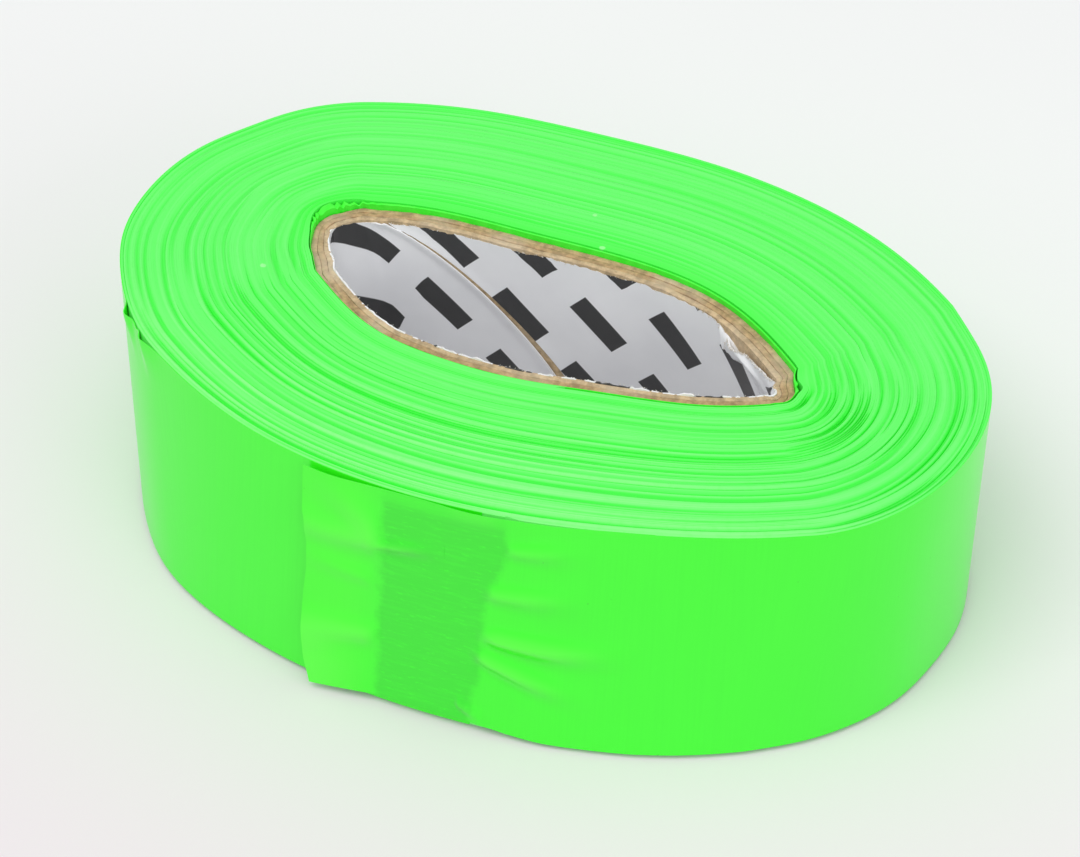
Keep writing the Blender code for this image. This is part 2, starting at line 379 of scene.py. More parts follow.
def add_node(tree, kind, sockets=None, output=0, **settings):
    """Adds a node with these settings and inputs, and gives back one of its outputs."""
    node = tree.nodes.new(kind)
    for name, value in settings.items():
        setattr(node, name, value)
    for name, value in (sockets or {}).items():
        feed(tree, node.inputs[name], value)
    return Field(tree, node.outputs[output])


def sums(tree, operation, *values):
    return add_node(tree, "ShaderNodeMath", dict(enumerate(values)), operation=operation)


def vector_sums(operation, first, second):
    other = "Scale" if operation == "SCALE" else 1
    return add_node(first.tree, "ShaderNodeVectorMath", {0: first, other: second}, operation=operation)


def split(vector):
    """The three numbers of a vector."""
    node = vector.tree.nodes.new("ShaderNodeSeparateXYZ")
    feed(vector.tree, node.inputs["Vector"], vector)
    return [Field(vector.tree, socket) for socket in node.outputs]


def ramp(value, low, high, to_low=0.0, to_high=1.0):
    """Number that eases from one end to the other while a value runs from low to high."""
    ends = {"Value": value, "From Min": low, "From Max": high, "To Min": to_low, "To Max": to_high}
    return add_node(value.tree, "ShaderNodeMapRange", ends, "Result", interpolation_type="SMOOTHSTEP")


def from_middle(value):
    """How far a value is from the middle of its own whole step."""
    return sums(value.tree, "ABSOLUTE", sums(value.tree, "FRACT", value) - 0.5)


def noise(vector, scale, detail=2.0, roughness=0.5):
    values = {"Vector": vector, "Scale": scale, "Detail": detail, "Roughness": roughness}
    return add_node(vector.tree, "ShaderNodeTexNoise", values)


def spots_apart(vector, scale):
    """Distance from the nearest of many scattered spots."""
    return add_node(vector.tree, "ShaderNodeTexVoronoi", {"Vector": vector, "Scale": scale}, "Distance")


def new_tree(name, inputs):
    """Geometry node tree with a mesh in, a mesh out and inputs named under their kinds."""
    tree = bpy.data.node_groups.new(name, "GeometryNodeTree")
    tree.interface.new_socket("Mesh", in_out="INPUT", socket_type="NodeSocketGeometry")
    tree.interface.new_socket("Mesh", in_out="OUTPUT", socket_type="NodeSocketGeometry")
    for kind, labels in inputs.items():
        for label in labels:
            tree.interface.new_socket(label, in_out="INPUT", socket_type="NodeSocket" + kind)
    sockets = tree.nodes.new("NodeGroupInput").outputs
    return tree, {socket.name: Field(tree, socket) for socket in sockets}


def close_tree(tree, mesh, material):
    realized = add_node(tree, "GeometryNodeRealizeInstances", {"Geometry": mesh})
    painted = add_node(tree, "GeometryNodeSetMaterial", {"Geometry": realized, "Material": material})
    feed(tree, tree.nodes.new("NodeGroupOutput").inputs[0], painted)


# Pieces


def new_mesh(name, spots, faces=()):
    mesh = bpy.data.meshes.new(name)
    corners = np.reshape(faces, (-1, 4)).astype(int)
    mesh.from_pydata(np.reshape(spots, (-1, 3)).tolist(), [], corners.tolist())
    return mesh


def add_object(name, data):
    thing = bpy.data.objects.new(name, data)
    bpy.context.scene.collection.objects.link(thing)
    return thing


def finished_mesh(thing, name):
    """Plain mesh of what an object's modifiers make."""
    bpy.context.view_layer.update()
    grown = thing.evaluated_get(bpy.context.evaluated_depsgraph_get())
    mesh = bpy.data.meshes.new_from_object(grown)
    mesh.name = name
    return mesh


def grow(name, mesh, tree, values, material):
    """Runs a tree on a mesh and keeps the result as a plain mesh piece."""
    carrier = add_object(name + "_path", mesh)
    modifier = carrier.modifiers.new(tree.name, "NODES")
    modifier.node_group = tree
    for item in tree.interface.items_tree:
        if item.in_out == "INPUT" and item.name in values:
            modifier[item.identifier] = values[item.name]
    result = finished_mesh(carrier, name)
    bpy.data.objects.remove(carrier)
    result.materials.clear()
    result.materials.append(material)
    return add_object(name, result)


def sheet_piece(name, spots, maps, map_name, thickness, material, side, stand_off=None):
    """Thin shell through a grid of points, with its own map, thickened to side 1 or -1 of the grid."""
    columns, rows = spots.shape[:2]
    numbers = np.arange(columns * rows).reshape(columns, rows)
    corners = (numbers[:-1, :-1], numbers[1:, :-1], numbers[1:, 1:], numbers[:-1, 1:])
    faces = np.stack(corners, -1).reshape(-1, 4)
    mesh = new_mesh(name, spots, faces)
    layer = mesh.uv_layers.new(name=map_name)
    layer.data.foreach_set("uv", maps.reshape(-1, 2)[faces.ravel()].astype(np.float32).ravel())
    mesh.polygons.foreach_set("use_smooth", np.ones(len(faces), bool))
    mesh.materials.append(material)
    if stand_off is not None:
        attribute = mesh.attributes.new("stand_off", "FLOAT", "POINT")
        attribute.data.foreach_set("value", stand_off.astype(np.float32).ravel())
    piece = add_object(name, mesh)
    shell = piece.modifiers.new("thickness", "SOLIDIFY")
    shell.thickness = thickness
    shell.offset = side
    finished = finished_mesh(piece, name)
    piece.modifiers.clear()
    piece.data = finished
    finished.set_sharp_from_angle(angle=SHARP_EDGE)
    return piece


def ring_piece(name, around, inner, outer, foot, top, material):
    """Closed ring between two offsets, with a slightly rounded top edge."""
    rounded = top + RING_EDGE_RISE
    profile = ((0.0, foot), (0.0, top), (0.35, rounded), (0.7, rounded), (1.0, top), (1.0, foot))
    rings = []
    for share, edge in profile:
        offsets = inner + (outer - inner) * share
        rings.append(wall_points(around, offsets, np.broadcast_to(edge, around.shape)))
    spots = np.stack(rings, 1)
    columns, rows = spots.shape[:2]
    numbers = np.arange(columns * rows).reshape(columns, rows)
    following = np.roll(numbers, -1, 0)
    beside = np.roll(numbers, -1, 1)
    mesh = new_mesh(name, spots, np.stack([numbers, beside, np.roll(beside, -1, 0), following], -1))
    mesh.materials.append(material)
    piece = add_object(name, mesh)
    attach(piece, "roll")
    return piece


# Materials


def linear(red, green, blue):
    channels = [value / 255 for value in (red, green, blue)]
    values = [c / 12.92 if c < 0.04045 else ((c + 0.055) / 1.055) ** 2.4 for c in channels]
    return (*values, 1.0)


def shader_inputs(tree):
    return tree.nodes["Principled BSDF"].inputs


def new_material(name, colour, roughness, specular):
    material = bpy.data.materials.new(name)
    material.use_nodes = True
    tree = material.node_tree
    inputs = shader_inputs(tree)
    inputs["Base Color"].default_value = colour
    inputs["Roughness"].default_value = roughness
    inputs["Specular IOR Level"].default_value = specular
    return material, tree


def mixed(share, first, second):
    return add_node(share.tree, "ShaderNodeMix", {0: share, 6: first, 7: second}, 2, data_type="RGBA")


def paint(tree, colour):
    feed(tree, shader_inputs(tree)["Base Color"], colour)


def bump(tree, height, distance, strength):
    values = {"Strength": strength, "Distance": distance, "Height": height}
    feed(tree, shader_inputs(tree)["Normal"], add_node(tree, "ShaderNodeBump", values, "Normal"))


def surface_place(tree):
    return add_node(tree, "ShaderNodeTexCoord", output="Object")


def own_map(tree, name):
    return add_node(tree, "ShaderNodeUVMap", uv_map=name)


def stored(tree, name):
    return add_node(tree, "ShaderNodeAttribute", output="Fac", attribute_name=name)


def film_map(tree, along, upward):
    """The film's own map, stretched: along the tape in tenths of a metre, and up the tape's width."""
    values = {"Vector": own_map(tree, "film_map"), "Scale": (along, upward, 1.0)}
    return add_node(tree, "ShaderNodeMapping", values)


def coated_film(name):
    """Glossy green film with faint upright drawing lines, slow mottling and a few specks."""
    material, tree = new_material(name, linear(53, 250, 26), 0.32, 0.62)
    inputs = shader_inputs(tree)
    inputs["Coat Weight"].default_value = 0.3
    inputs["Coat Roughness"].default_value = 0.25
    slow = noise(surface_place(tree), 26.0, 3.0)
    colour = mixed(ramp(slow, 0.3, 0.7), linear(54, 250, 27), linear(50, 248, 22))
    lines = noise(film_map(tree, 420.0, 2.0), 1.0, 2.0)
    colour = mixed(ramp(lines, 0.35, 0.8, 0.0, 0.25), colour, linear(44, 242, 20))
    specks = ramp(spots_apart(film_map(tree, 34.0, 11.0), 1.0), 0.016, 0.034, 1.0, 0.0)
    colour = mixed(specks * 0.5, colour, linear(38, 160, 30))
    return material, tree, colour, lines


def film_side_material():
    material, tree, colour, lines = coated_film("green_film")
    paint(tree, colour)
    bump(tree, lines, 0.02 * MM, 0.25)
    return material


def glued_film_material():
    """The same film, darker where it lies wet on the glue and paler where it stands free, with a painted
    highlight where its creases stand off the roll.
    """
    material, tree, colour, _ = coated_film("green_film_at_glue")
    along, upward, _ = split(own_map(tree, "film_map"))
    ragged = noise(film_map(tree, 40.0, 9.0), 1.0, 4.0, 0.6)
    shaken = along + (ragged - 0.5) * 0.024
    # The patch's right edge steps in below the upper third of the film, and again near its foot
    narrowing = ramp(upward, 0.6, 0.84, 0.016, -0.006) + ramp(upward, 0.0, 0.3, 0.014, 0.0)
    after_right = ramp(shaken - narrowing, -0.004, 0.01)
    before_left = ramp(shaken, 0.14, 0.154, 1.0, 0.0)
    below_top = ramp(upward, 0.915, 0.985, 1.0, 0.25)
    streaks = noise(film_map(tree, 14.0, 42.0), 1.0, 5.0, 0.7)
    flecks = noise(film_map(tree, 55.0, 90.0), 1.0, 3.0, 0.7)
    wet = after_right * before_left * below_top * ramp(streaks, 0.42, 0.7, 1.05, 0.7)
    wet = wet * ramp(flecks, 0.56, 0.68, 1.0, 0.45)
    free = ramp(along, 0.138, 0.19)
    # Painted highlight: the film is painted paler where its creases stand off the roll
    lifted = ramp(stored(tree, "stand_off"), 0.12, 0.75, 0.0, 0.6)
    colour = mixed(free * 0.5, colour, linear(68, 252, 30))
    colour = mixed(wet, colour, linear(38, 227, 20))
    colour = mixed(lifted, colour, linear(93, 254, 64))
    paint(tree, colour)
    bump(tree, flecks, 0.03 * MM, 0.2)
    return material


def crumpled_film_material():
    # Painted light: this film is painted paler than the side film, standing in for light that shines
    # through and between its pleats
    material, tree = new_material("crumpled_green_film", linear(70, 252, 56), 0.4, 0.4)
    # Painted shade: small random patches are painted darker, standing in for the shade of fine creases
    painted_crease_shade = ramp(noise(surface_place(tree), 700.0, 2.0), 0.35, 0.65)
    paint(tree, mixed(painted_crease_shade, linear(74, 253, 60), linear(60, 248, 48)))
    return material


def film_edge_material():
    """Cut edges of the wound film: paler than its face, a little different from turn to turn, with a
    painted glow on its inner turns at the back and painted shade in its sunken grooves.
    """
    material, tree = new_material("green_film_edges", linear(100, 251, 102), 0.55, 0.3)
    place = surface_place(tree)
    _, depth, _ = split(place)
    turn = stored(tree, "turn")
    banded = noise(add_node(tree, "ShaderNodeCombineXYZ", {"X": turn}), 0.36, 3.0, 0.6)
    colour = mixed(ramp(banded, 0.32, 0.68), linear(95, 250, 100), linear(116, 252, 120))
    # The top is painted paler towards the front, most of all on its outermost turns
    pale_bands = sums(tree, "MAXIMUM", ramp(banded, 0.4, 0.6), ramp(turn, 60.0, 76.0))
    paler_to_front = pale_bands * ramp(depth, -6 * MM, -26 * MM)
    colour = mixed(paler_to_front * 0.65, colour, linear(148, 254, 144))
    grain = noise(place, 900.0, 3.0, 0.6)
    colour = mixed(ramp(grain, 0.45, 0.75, 0.0, 0.3), colour, linear(104, 248, 102))
    # Painted light: the innermost turns along the back are painted a deeper green, standing in for light
    # that shines through the film and bounces between its turns
    painted_glow_at_back = ramp(turn, 2.0, 15.0, 1.0, 0.0) * ramp(depth, -4 * MM, 12 * MM)
    colour = mixed(painted_glow_at_back * 0.7, colour, linear(66, 251, 66))
    dust = ramp(spots_apart(place, 130.0), 0.035, 0.06, 1.0, 0.0)
    colour = mixed(dust * 0.5, colour, linear(196, 255, 188))
    # Painted shade: edges sunk into the grooves between turns are painted a darker green
    painted_groove_shade = ramp(stored(tree, "edge_depth"), 0.05, 1.0, 0.0, 0.95)
    colour = mixed(painted_groove_shade, colour, linear(44, 242, 50))
    paint(tree, colour)
    bump(tree, grain, 0.03 * MM, 0.3)
    return material


def kraft_material(name, tone):
    material, tree = new_material(name, linear(*tone), 0.88, 0.2)
    place = surface_place(tree)
    fibres = noise(place, 1100.0, 4.0, 0.65)
    blotches = noise(place, 160.0, 2.0)
    dark = tuple(int(value * 0.85) for value in tone)
    pale = tuple(min(255, int(value * 1.1)) for value in tone)
    colour = mixed(ramp(fibres, 0.3, 0.72), linear(*dark), linear(*pale))
    colour = mixed(ramp(blotches, 0.4, 0.75, 0.0, 0.5), colour, linear(216, 202, 178))
    paint(tree, colour)
    bump(tree, fibres, 0.08 * MM, 0.5)
    return material


def liner_material():
    """White coated paper, printed with slanting rows of plain dark bars."""
    material, tree = new_material("coated_liner_paper", linear(240, 241, 243), 0.28, 0.5)
    along, across, _ = split(own_map(tree, "liner_map"))
    soft = noise(surface_place(tree), 70.0, 3.0)
    colour = mixed(ramp(soft, 0.3, 0.7), linear(247, 248, 250), linear(236, 237, 240))
    # Every second row starts half a step later
    odd = sums(tree, "MODULO", sums(tree, "FLOOR", across), 2.0)
    in_row = ramp(from_middle(across), 0.17, 0.185, 1.0, 0.0)
    in_bar = ramp(from_middle(along + odd * 0.5), 0.3, 0.308, 1.0, 0.0)
    paint(tree, mixed(in_row * in_bar * 0.95, colour, linear(24, 24, 24)))
    bump(tree, soft, 0.4 * MM, 0.25)
    return material


def torn_paper_material():
    material, tree = new_material("torn_white_paper", linear(232, 230, 226), 0.9, 0.2)
    fuzz = ramp(noise(surface_place(tree), 2500.0, 3.0), 0.35, 0.7)
    paint(tree, mixed(fuzz, linear(214, 207, 196), linear(240, 240, 238)))
    return material


def glue_material():
    material, tree = new_material("dried_glue", linear(73, 230, 60), 0.3, 0.5)
    lumps = noise(surface_place(tree), 300.0, 3.0)
    paint(tree, mixed(ramp(lumps, 0.3, 0.7), linear(66, 222, 54), linear(80, 238, 66)))
    bump(tree, lumps, 0.1 * MM, 0.5)
    return material


def table_material():
    """Pale table, a little whiter towards the back, and painted less green and a little darker near the
    roll to offset the green light that the film throws onto it.
    """
    material, tree = new_material("pale_table", linear(238, 241, 239), 0.8, 0.2)
    place = surface_place(tree)
    _, depth, _ = split(place)
    backward = ramp(depth + noise(place, 3.0, 2.0) * 0.05, -0.12, 0.12)
    away = add_node(tree, "ShaderNodeVectorMath", {0: place}, "Value", operation="LENGTH")
    # Painted light: near the roll the table is painted less green and a little darker, offsetting the
    # green light bounced off the film
    near = ramp(away, 0.07, 0.26, 1.0, 0.0)
    colour = mixed(near, linear(238, 238, 235), linear(232, 220, 227))
    paint(tree, mixed(backward, colour, linear(243, 244, 244)))
    return material


# Wound film


def winding_tree():
    """Tree that winds one ribbon outwards around a path, with uneven edges and sunken turns."""
    depths = ("Band Depth", "Edge Depth", "Valley Depth", "Line Depth")
    sizes = ("Tape Width", "First Offset", "Turn Pitch", "Ribbon Thickness", "Groove Step", "Foot Rise")
    inputs = {"Int": ("Turns", "Path Points"), "Float": (*sizes, *depths, "Seed"), "Material": ("Film",)}
    tree, given = new_tree("wind_film", inputs)
    path_points = given["Path Points"]
    tape_width = given["Tape Width"]
    corners = 6
    steps = given["Turns"] * path_points + 1.0
    grid_size = {"Size X": 1.0, "Size Y": 1.0, "Vertices X": steps, "Vertices Y": corners}
    grid = add_node(tree, "GeometryNodeMeshGrid", grid_size)
    index = add_node(tree, "GeometryNodeInputIndex")
    step = sums(tree, "FLOOR", (index + 0.5) / float(corners))
    corner = index - step * float(corners)
    turn = step / path_points
    whole_turns = sums(tree, "FLOOR", (step + 0.5) / path_points)
    path_index = step - whole_turns * path_points + 0.25
    vectors = "FLOAT_VECTOR"

    def on_path(value):
        sampled = {"Geometry": given["Mesh"], "Value": value, "Index": path_index}
        return add_node(tree, "GeometryNodeSampleIndex", sampled, data_type=vectors, domain="POINT")

    def path_attribute(name):
        named = {"Name": name}
        return on_path(add_node(tree, "GeometryNodeInputNamedAttribute", named, data_type=vectors))

    top = on_path(add_node(tree, "GeometryNodeInputPosition"))
    foot = path_attribute("foot_point")
    away = path_attribute("away")
    foot_away = path_attribute("foot_away")

    # Corners in order: inner foot, inner top, crown, outer top, outer foot, inner foot again
    before_last = sums(tree, "LESS_THAN", corner, 4.5)
    side = sums(tree, "MINIMUM", sums(tree, "MAXIMUM", corner - 1.0, 0.0), 2.0)
    from_start = sums(tree, "MINIMUM", step, 1.0)
    to_end = sums(tree, "MINIMUM", steps - 1.0 - step, 1.0)
    side = side * 0.5 * before_last * (from_start * to_end)
    upper = sums(tree, "GREATER_THAN", corner, 0.5) * sums(tree, "LESS_THAN", corner, 3.5)
    crown = sums(tree, "COMPARE", corner, 2.0, 0.1)

    # Height of the edges is read at each corner's own place across the turns, so that they run together
    across_turns = turn + side

    def uneven(place, round_scale, turn_scale, lift):
        across = place * turn_scale + (given["Seed"] + lift)
        column = add_node(tree, "ShaderNodeCombineXYZ", {"Z": across})
        spot = vector_sums("ADD", vector_sums("SCALE", away, round_scale), column)
        return noise(spot, 1.0, 1.0)

    slow = ramp(uneven(across_turns, 0.6, 0.11, 3.0), 0.25, 0.75)
    edges = ramp(uneven(turn, 1.5, 0.83, 41.0), 0.2, 0.8)
    # Soft valleys come at a steady step through the turns, shifted and faded a little round the roll
    beat = across_turns / given["Groove Step"] + uneven(across_turns, 0.45, 0.06, 77.0) * 2.4
    faded = ramp(uneven(across_turns, 0.7, 0.3, 151.0), 0.32, 0.66, 0.1, 1.0)
    valley = ramp(from_middle(beat), 0.5, 0.18) * faded
    # Narrow lines open between single turns, clearest on the front and towards the sharp end
    clearest = {0: away, 1: (0.55, -0.83, 0.0)}
    facing = add_node(tree, "ShaderNodeVectorMath", clearest, "Value", operation="DOT_PRODUCT")
    valley = valley * ramp(facing, -0.7, 0.4, 0.8, 1.0)
    opened = ramp(uneven(across_turns, 0.5, 0.74, 211.0), 0.51, 0.63)
    opened = opened * ramp(facing, 0.0, 0.8, 0.06, 1.0) * (1.0 - crown)
    turns_left = given["Turns"] - turn
    within = ramp(turns_left, 0.3, 1.8) * ramp(turn, 0.6, 4.0)
    grooves = valley * given["Valley Depth"] + opened * given["Line Depth"]
    sunken = within * (slow * given["Band Depth"] + grooves)
    depth = sunken + edges * given["Edge Depth"]
    top_height = tape_width - depth + crown * CROWN_RISE
    # The outermost turns stand a little off the table
    standing = ramp(turns_left, RAISED_TURNS, 0.0) * given["Foot Rise"]
    foot_height = uneven(turn, 1.5, 0.83, 113.0) * given["Edge Depth"] + standing
    height = upper * top_height + (1.0 - upper) * foot_height

    # The first turns stand off the core, and the slack is taken up further out
    slack = split(path_attribute("slack"))[0]
    stand_off = slack * sums(tree, "EXPONENT", turn * -SLACK_FADE)
    offset = given["First Offset"] + turn * given["Turn Pitch"]
    offset = offset + side * given["Ribbon Thickness"] + stand_off

    foot_spot = vector_sums("ADD", foot, vector_sums("SCALE", foot_away, offset))
    top_spot = vector_sums("ADD", top, vector_sums("SCALE", away, offset))
    wall = vector_sums("SUBTRACT", top_spot, foot_spot)
    climbed = vector_sums("SCALE", wall, height / tape_width)
    spot = vector_sums("ADD", foot_spot, climbed)
    wound = add_node(tree, "GeometryNodeSetPosition", {"Geometry": grid, "Position": spot})
    # How deep the edges sink into grooves, kept for the painted shade there
    sunk = upper * (within * sums(tree, "MAXIMUM", valley * 0.75, opened))
    for name, value in (("turn", turn), ("edge_depth", sunk)):
        kept = {"Geometry": wound, "Name": name, "Value": value}
        wound = add_node(tree, "GeometryNodeStoreNamedAttribute", kept, data_type="FLOAT")
    joined = add_node(tree, "GeometryNodeMergeByDistance", {"Geometry": wound, "Distance": MERGE_DISTANCE})
    shaded = add_node(tree, "GeometryNodeSetShadeSmooth", {"Geometry": joined})
    close_tree(tree, shaded, given["Film"])
    return tree


def winding_path():
    """One clockwise loop on the bore's top outline, with the foot's points, the way out and the slack."""
    loop = even_normals(TURN_POINTS, LAST_TURN_OFFSET / 2)[::-1]
    start = np.argmin(np.abs(loop - TAPE_END_NORMAL))
    loop = np.roll(loop, -start)
    none = np.zeros_like(loop)
    last = np.full_like(loop, LAST_TURN_OFFSET)
    full_height = np.full_like(loop, TAPE_WIDTH)
    top = wall_points(loop, none, full_height)
    foot = wall_points(loop, none, none)
    attributes = {
        "foot_point": foot,
        "away": (wall_points(loop, last, full_height) - top) / LAST_TURN_OFFSET,
        "foot_away": (wall_points(loop, last, none) - foot) / LAST_TURN_OFFSET,
        "slack": np.stack([core_slack(loop), none, none], 1),
    }
    mesh = new_mesh("winding_path", top)
    for name, values in attributes.items():
        attribute = mesh.attributes.new(name, "FLOAT_VECTOR", "POINT")
        attribute.data.foreach_set("vector", values.astype(np.float32).ravel())
    return mesh


def make_winding(edges):
    pitch = (LAST_TURN_OFFSET - FIRST_TURN_OFFSET) / TURNS
    values = {
        "Turns": TURNS,
        "Path Points": TURN_POINTS,
        "Tape Width": TAPE_WIDTH,
        "First Offset": FIRST_TURN_OFFSET,
        "Turn Pitch": pitch,
        "Ribbon Thickness": pitch - TURN_GAP,
        "Band Depth": 0.18 * MM,
        "Edge Depth": 0.03 * MM,
        "Valley Depth": 0.2 * MM,
        "Line Depth": 0.26 * MM,
        "Groove Step": 3.7,
        "Foot Rise": FOOT_RISE,
        "Seed": 5.0,
        "Film": edges,
    }
    winding = grow("wound_film", winding_path(), winding_tree(), values, edges)
    winding.data.set_sharp_from_angle(angle=SHARP_EDGE)
    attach(winding, "roll")
    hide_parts("tape_winding")


# Film sheets


def crease(lengths, depths, start, end, rise, width):
    """A ridge along a line over the film with a shallow valley under it, fading out towards its end."""
    run = end[0] - start[0]
    share = (lengths - start[0]) / run
    middle = start[1] + (end[1] - start[1]) * share
    fade = ease((share + 0.1) / 0.2) * ease((1.15 - share) / 0.9)
    across = (depths - middle) / (width * (0.75 + 0.5 * np.clip(share, 0, 1)))
    return rise * fade * (np.exp(-(across**2)) - 0.2 * np.exp(-((across - 1.6) ** 2)))


def creases_along(lengths, depths, *lines):
    """Sum of creases in millimetres: start and end as a length and a depth, then rise and width."""
    return MM * sum(crease(lengths / MM, depths / MM, *line) for line in lines)


def end_rise(lengths, heights):
    """How far the film's outer end stands above the wraps before it: wound on askew, and gathered."""
    upward = heights / TAPE_WIDTH
    gathered = (0.85 - 0.6 * upward) * MM * ease((lengths + 7 * MM) / (12 * MM))
    drooping = (0.35 + 0.2 * upward) * MM * ease((lengths - 9 * MM) / (15 * MM))
    return gathered - drooping


def lap_offset(lengths):
    """Offset of the film's outer face where it runs off the wrap, over the glue and into the tab."""
    climb = LAP_CLIMB * ease((lengths + 14 * MM) / (11 * MM))
    return OUTER_WRAP_OFFSET + WRAP_RISE + climb


def lap_creases(lengths, heights):
    """Puckers that fan out to the right of the glue, over its slightly rough patch."""
    depth = TAPE_WIDTH - heights
    puckers = creases_along(
        lengths,
        depth,
        ((-0.6, 4.2), (-10.0, 3.2), 0.42, 1.3),
        ((1.6, 10.6), (-11.0, 9.4), 0.5, 1.5),
        ((1.4, 16.6), (-15.5, 16.6), 0.75, 1.5),
        ((2.4, 19.6), (-11.0, 23.0), 0.65, 1.4),
        ((4.6, 27.2), (1.2, 28.6), 0.35, 0.9),
    )
    open_top = 0.4 * MM * bell(lengths - 3.5 * MM, 4.5 * MM) * bell(depth, 2.2 * MM)
    over_glue = ease(lengths / (2 * MM)) * ease((TAB_START - lengths) / (2 * MM))
    rough = wander_over(lengths / (2.6 * MM), heights / (0.8 * MM), 8)
    return puckers + open_top + over_glue * 0.012 * MM * rough


def tab_creases(lengths, heights):
    """Folds of the free tab, which fan out from the glue's left edge."""
    depth = TAPE_WIDTH - heights
    past = lengths - 14 * MM
    folds = creases_along(
        lengths,
        depth,
        ((12.8, 7.6), (24.0, 0.6), 0.5, 2.6),
        ((13.0, 7.8), (34.0, 7.4), 0.55, 2.0),
        ((16.0, 13.0), (28.0, 11.4), 0.25, 1.4),
        ((13.8, 20.6), (34.0, 22.4), 0.6, 2.0),
    )
    fan = 0.8 * MM * np.clip(past / (10 * MM), 0, 1) * ease((depth - 20.5 * MM) / (4 * MM))
    over_glue = creases_along(lengths, depth, ((15.0, 7.8), (7.0, 6.6), 0.45, 0.9))
    return ease(past / (2.5 * MM)) * (folds + fan) + over_glue


def film_grid(start, end, columns, rows):
    """Lengths and heights over a stretch of the film's outer end."""
    share, upward = unit_grid(columns, rows)
    return start + (end - start) * share, WRAP_FOOT + (TAPE_WIDTH - WRAP_FOOT) * upward


def end_sheet(name, lengths, heights, offsets, creases, material):
    """Stretch of the film's outer end, which knows how far its creases stand off, for the painted
    highlight on their ridges.
    """
    spots = film_points(lengths, offsets, heights + end_rise(lengths, heights))
    maps = np.stack([lengths * 10, heights / TAPE_WIDTH], -1)
    return sheet_piece(name, spots, maps, "film_map", FILM_THICKNESS, material, 1.0, creases / MM)


def bend_place(length):
    return film_points(np.array(length), np.array(END_SPREAD), np.array(BEND_HEIGHT))


def make_lap_film(material):
    """Film from the right of the glue to the middle of the lap, with the ends of its bend worked out but
    not used.
    """
    lengths, heights = film_grid(LAP_APPROACH, LAP_MIDDLE, 141, 128)
    creases = ease((lengths - LAP_APPROACH) / (3 * MM)) * lap_creases(lengths, heights)
    offsets = np.maximum(lap_offset(lengths) + creases, OUTER_WRAP_OFFSET + WRAP_RISE) + LAP_OVER_WRAP
    lap = end_sheet("glued_lap_film", lengths, heights, offsets, creases, material)
    bend_start = bend_place(-1.6 * MM)
    bend_end = bend_place(1.8 * MM)
    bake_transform(lap)
    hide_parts("glued_lap")


def make_pull_tab(material):
    """Film from the middle of the lap to the free end, with the ends of its bend worked out but not used.
    """
    lengths, heights = film_grid(LAP_MIDDLE, TAB_END, 131, 112)
    upward = heights / TAPE_WIDTH
    share = (lengths - LAP_MIDDLE) / (TAB_END - LAP_MIDDLE)
    # The cut end is slanted and ragged: longest near its top, full in the middle, cut back at its foot
    near_top = 0.35 * ease((heights - 23 * MM) / (1.5 * MM))
    middle = 0.4 * bell(heights - 12 * MM, 6 * MM)
    cut_back = 1.1 * (1 - upward) + 0.8 * ease((5 * MM - heights) / (5 * MM))
    ragged = 0.2 * wander(heights / (5.5 * MM), 21) + near_top + middle - cut_back
    lengths = lengths + share**4 * ragged * MM
    past = np.clip((lengths - TAB_START) / (TAB_END - TAB_START), 0, 1.2)
    creases = lap_creases(lengths, heights) + tab_creases(lengths, heights)
    offsets = lap_offset(lengths) + TAB_LIFT * (1 - 0.75 * upward) * past**1.4
    offsets = np.maximum(offsets + creases, OUTER_WRAP_OFFSET + WRAP_RISE)
    tab = end_sheet("pull_tab_film", lengths, heights, offsets, creases, material)
    bend_start = bend_place(TAB_START - 1.2 * MM)
    bend_end = bend_place(TAB_START + 1.2 * MM)
    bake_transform(tab)
    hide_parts("pull_tab")


def make_outer_wrap(material):
    """Last wrap of film round the roll, from the lap's approach until it runs in under the glue."""
    share, upward = unit_grid(560, 40)
    lengths = WRAP_START + (WRAP_END - WRAP_START) * share
    foot_normals, top_normals = (normals + FULL_TURN * share for normals in end_normals(lengths))
    heights = WRAP_FOOT + (WRAP_TOP - WRAP_FOOT) * (1 - (1 - upward) ** 1.4)
    # The top edge stands open in two short slits, with a small fold pressed in between them
    near_top = ease((heights - 23 * MM) / (7.2 * MM)) ** 2
    slits = humps(top_normals, (1.0, -133.6, 2.3), (0.85, -124.0, 2.0))
    fold = humps(top_normals, (1.0, -128.6, 1.3))
    offsets = OUTER_WRAP_OFFSET + (WRAP_RISE - FILM_THICKNESS) * (1 - share)
    offsets = offsets + near_top * (0.75 * slits + 0.1 * fold) * MM
    heights = heights - near_top * 0.35 * MM * fold
    spots = roll_points(foot_normals, top_normals, offsets, heights)
    maps = np.stack([(WRAP_START - WRAP_LENGTH * share) * 10, heights / TAPE_WIDTH], -1)
    wrap = sheet_piece("outer_wrap", spots, maps, "film_map", FILM_THICKNESS, material, 1.0)
    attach(wrap, "roll")


